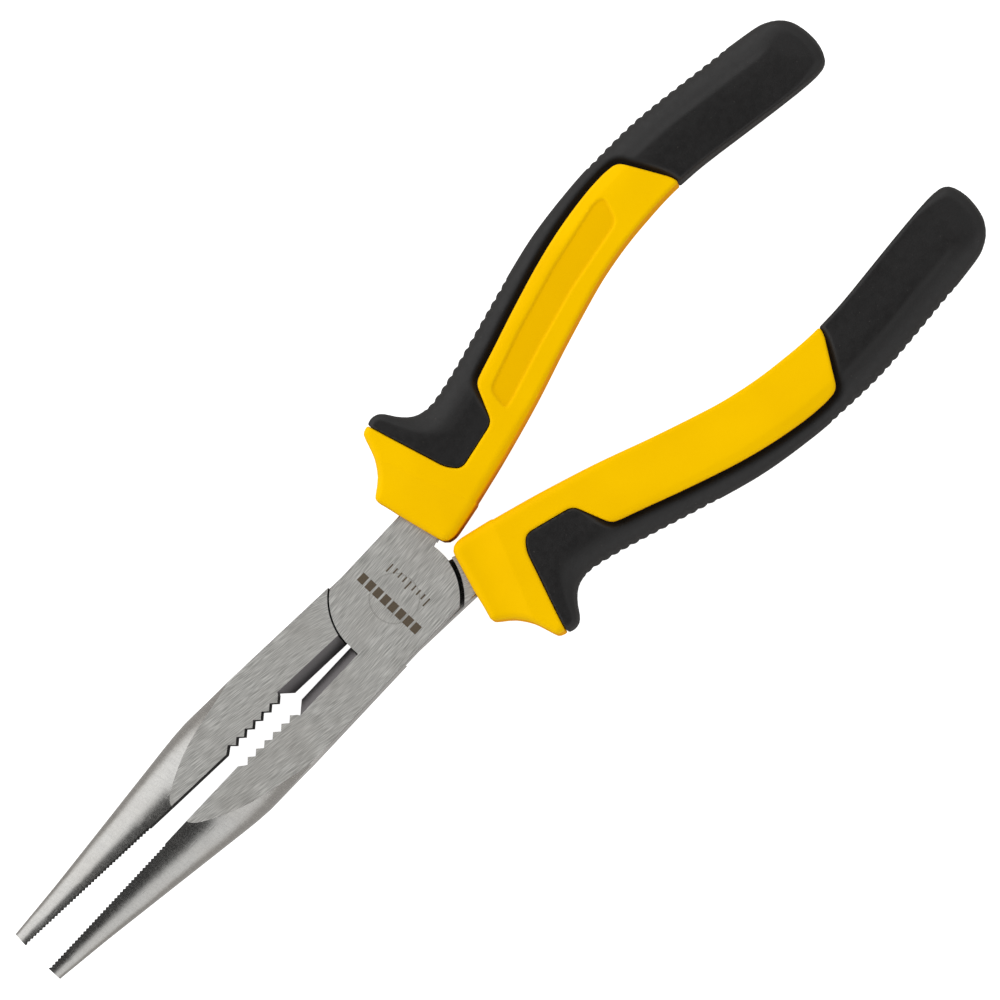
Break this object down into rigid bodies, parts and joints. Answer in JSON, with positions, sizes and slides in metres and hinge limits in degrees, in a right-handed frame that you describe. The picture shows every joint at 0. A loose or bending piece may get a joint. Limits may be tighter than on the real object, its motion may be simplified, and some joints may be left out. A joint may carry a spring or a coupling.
{
  "type": "needle nose pliers",
  "caption": "Long nose pliers with side cutters, a toothed pipe grip and a finely serrated nose, on a flush-riveted lap joint with two-colour guarded handles.",
  "frame": {"origin": "pivot axis, in the rear ground face of the joint", "axes": "+X along the tool to the nose tips, +Z out of the front joint face along the pivot axis, +Y towards the jaw of the front lever"},
  "size_m": [0.1998, 0.0591, 0.0152],
  "materials": {
    "forged_steel": "ground flats with a fine grain, satin polished nose",
    "rivet_steel": "ground flush with the joint face",
    "hard_plastic": "smooth yellow moulding with a soft sheen",
    "soft_rubber": "matte black soft moulding"
  },
  "bodies": {
    "front_half": {"front_lever_forging": "forged_steel", "pivot_rivet": "rivet_steel", "front_handle_sleeve": "hard_plastic", "front_handle_overmould": "soft_rubber"},
    "rear_half": {"rear_lever_forging": "forged_steel", "rear_handle_sleeve": "hard_plastic", "rear_handle_overmould": "soft_rubber"}
  },
  "joints": [
    {"name": "pivot", "type": "hinge", "parent": "front_half", "child": "rear_half", "pos_m": [0, 0, 0], "axis": [0, 0, -1], "range_deg": [-3.6, 60]}
  ]
}
